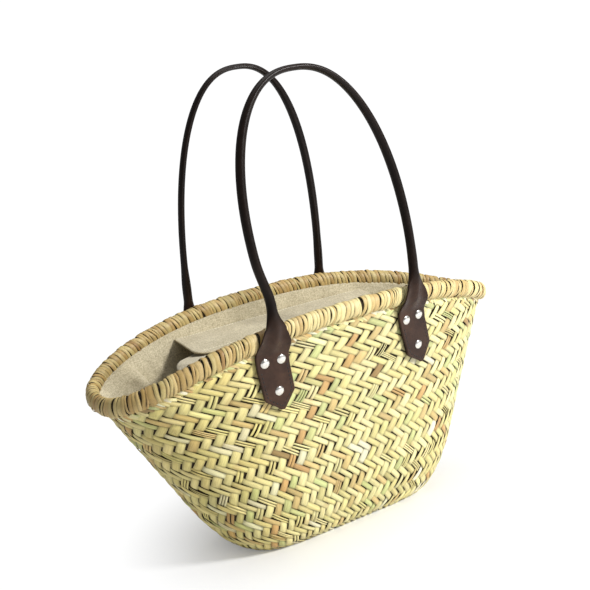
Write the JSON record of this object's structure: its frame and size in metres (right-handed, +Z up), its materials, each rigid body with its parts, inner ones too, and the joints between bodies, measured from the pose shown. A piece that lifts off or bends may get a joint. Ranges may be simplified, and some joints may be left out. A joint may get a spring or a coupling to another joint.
{
  "type": "woven market basket",
  "caption": "Boat-shaped plaited straw market basket with a whipped rim, canvas lining with closing flaps, and long rolled leather handles riveted on through pointed tabs.",
  "frame": {"origin": "on the floor under the middle of the base, at the middle of the whole object's plan outline", "axes": "+X along the mouth towards its pinched end, +Y towards the back face, +Z up; the front face looks along -Y"},
  "size_m": [0.4828, 0.2018, 0.493],
  "materials": {
    "straw_weave": "dry satin palm straw, plaited in a diagonal twill",
    "straw_wrap": "dry satin straw whipping, tan and uneven",
    "reed_core": "raw bundled straw",
    "canvas": "plain-woven cotton canvas, matt",
    "dark_leather": "smooth waxed leather, soft sheen",
    "cotton_cord": "twisted cotton filler cord",
    "nickel": "nickel-plated, lightly worn",
    "dark_thread": "waxed linen thread"
  },
  "bodies": {
    "basket": {"basket_shell": "straw_weave", "rim_core": "reed_core", "rim_wrap": "straw_wrap", "lining_front": "canvas", "lining_back": "canvas", "lining_base": "canvas", "seam_band_front": "canvas", "seam_band_back": "canvas", "tab_front_left": "dark_leather", "tab_liner_front_left": "dark_leather", "rivet_caps_front_left": "nickel", "rivet_posts_front_left": "nickel", "rivet_backs_front_left": "nickel", "tab_thread_front_left": "dark_thread", "tab_front_right": "dark_leather", "tab_liner_front_right": "dark_leather", "rivet_caps_front_right": "nickel", "rivet_posts_front_right": "nickel", "rivet_backs_front_right": "nickel", "tab_thread_front_right": "dark_thread", "tab_back_left": "dark_leather", "tab_liner_back_left": "dark_leather", "rivet_caps_back_left": "nickel", "rivet_posts_back_left": "nickel", "rivet_backs_back_left": "nickel", "tab_thread_back_left": "dark_thread", "tab_back_right": "dark_leather", "tab_liner_back_right": "dark_leather", "rivet_caps_back_right": "nickel", "rivet_posts_back_right": "nickel", "rivet_backs_back_right": "nickel", "tab_thread_back_right": "dark_thread"},
    "handle_front": {"handle_roll_front": "dark_leather", "handle_core_front": "cotton_cord"},
    "handle_back": {"handle_roll_back": "dark_leather", "handle_core_back": "cotton_cord"},
    "flap_front": {"closing_flap_front": "canvas"},
    "flap_back": {"closing_flap_back": "canvas"}
  },
  "joints": [
    {"name": "handle_front_fold", "type": "hinge", "parent": "basket", "child": "handle_front", "pos_m": [0.00046, -0.09406, 0.24282], "axis": [0.9997, 0.0247, 0], "range_deg": [-12, 110]},
    {"name": "handle_back_fold", "type": "hinge", "parent": "basket", "child": "handle_back", "pos_m": [0.00046, 0.09406, 0.24282], "axis": [-0.9997, 0.0247, 0], "range_deg": [-12, 110]},
    {"name": "flap_front_push", "type": "hinge", "parent": "basket", "child": "flap_front", "pos_m": [-0.007, -0.06266, 0.212], "axis": [0.9996, 0.0296, 0], "range_deg": [-55, 0]},
    {"name": "flap_back_lift", "type": "hinge", "parent": "basket", "child": "flap_back", "pos_m": [0.0015, 0.06886, 0.216], "axis": [-0.9994, 0.0335, 0], "range_deg": [0, 80]}
  ]
}
